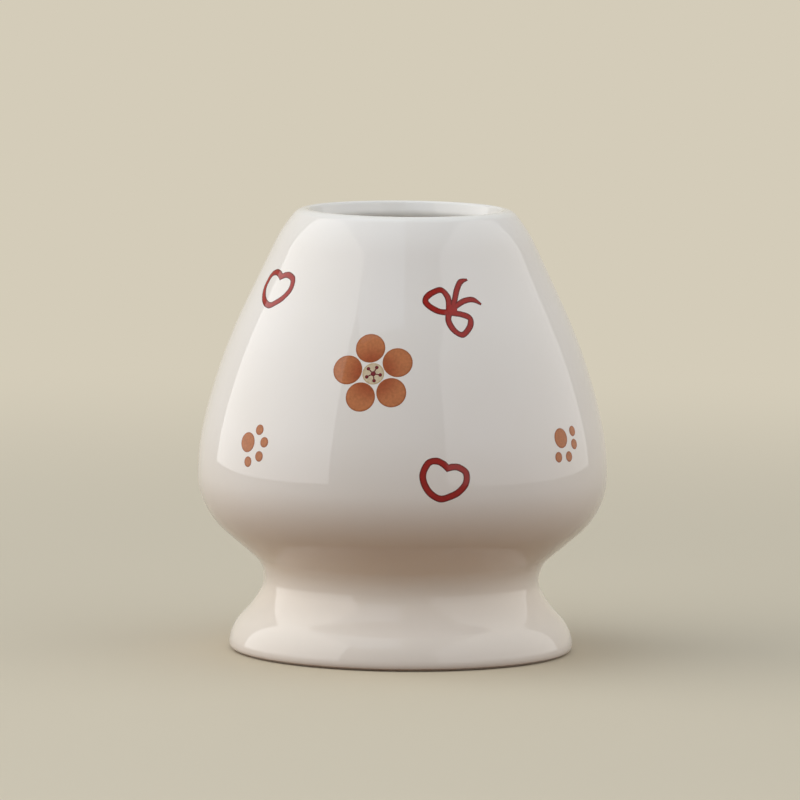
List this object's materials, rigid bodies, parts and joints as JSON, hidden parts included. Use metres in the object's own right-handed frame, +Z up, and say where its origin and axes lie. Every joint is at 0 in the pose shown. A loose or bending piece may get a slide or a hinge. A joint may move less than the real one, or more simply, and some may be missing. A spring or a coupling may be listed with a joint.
{
  "type": "tea whisk holder",
  "caption": "Hollow round porcelain holder for a bamboo tea whisk: open mouth, full belly, narrow waist and flared foot, with small printed ornaments.",
  "frame": {"origin": "on the table, under the middle of the foot", "axes": "+Z up through the middle of the mouth; the printed front faces -Y"},
  "size_m": [0.0666, 0.0666, 0.072],
  "materials": {
    "glazed_porcelain": "white porcelain under a clear gloss glaze, with a bare foot rim",
    "red_ink": "fired transfer print, dark red, gloss",
    "terracotta_ink": "fired transfer print, terracotta, gloss",
    "cream_ink": "fired transfer print, cream, gloss",
    "wine_ink": "fired transfer print, wine red, gloss"
  },
  "bodies": {
    "root": {"porcelain_body": "glazed_porcelain", "upper_heart": "red_ink", "lower_heart": "red_ink", "bow": "red_ink", "left_paw": "terracotta_ink", "right_paw": "terracotta_ink", "blossom_petals": "terracotta_ink", "blossom_centre": "cream_ink", "blossom_stamens": "wine_ink"}
  },
  "joints": []
}
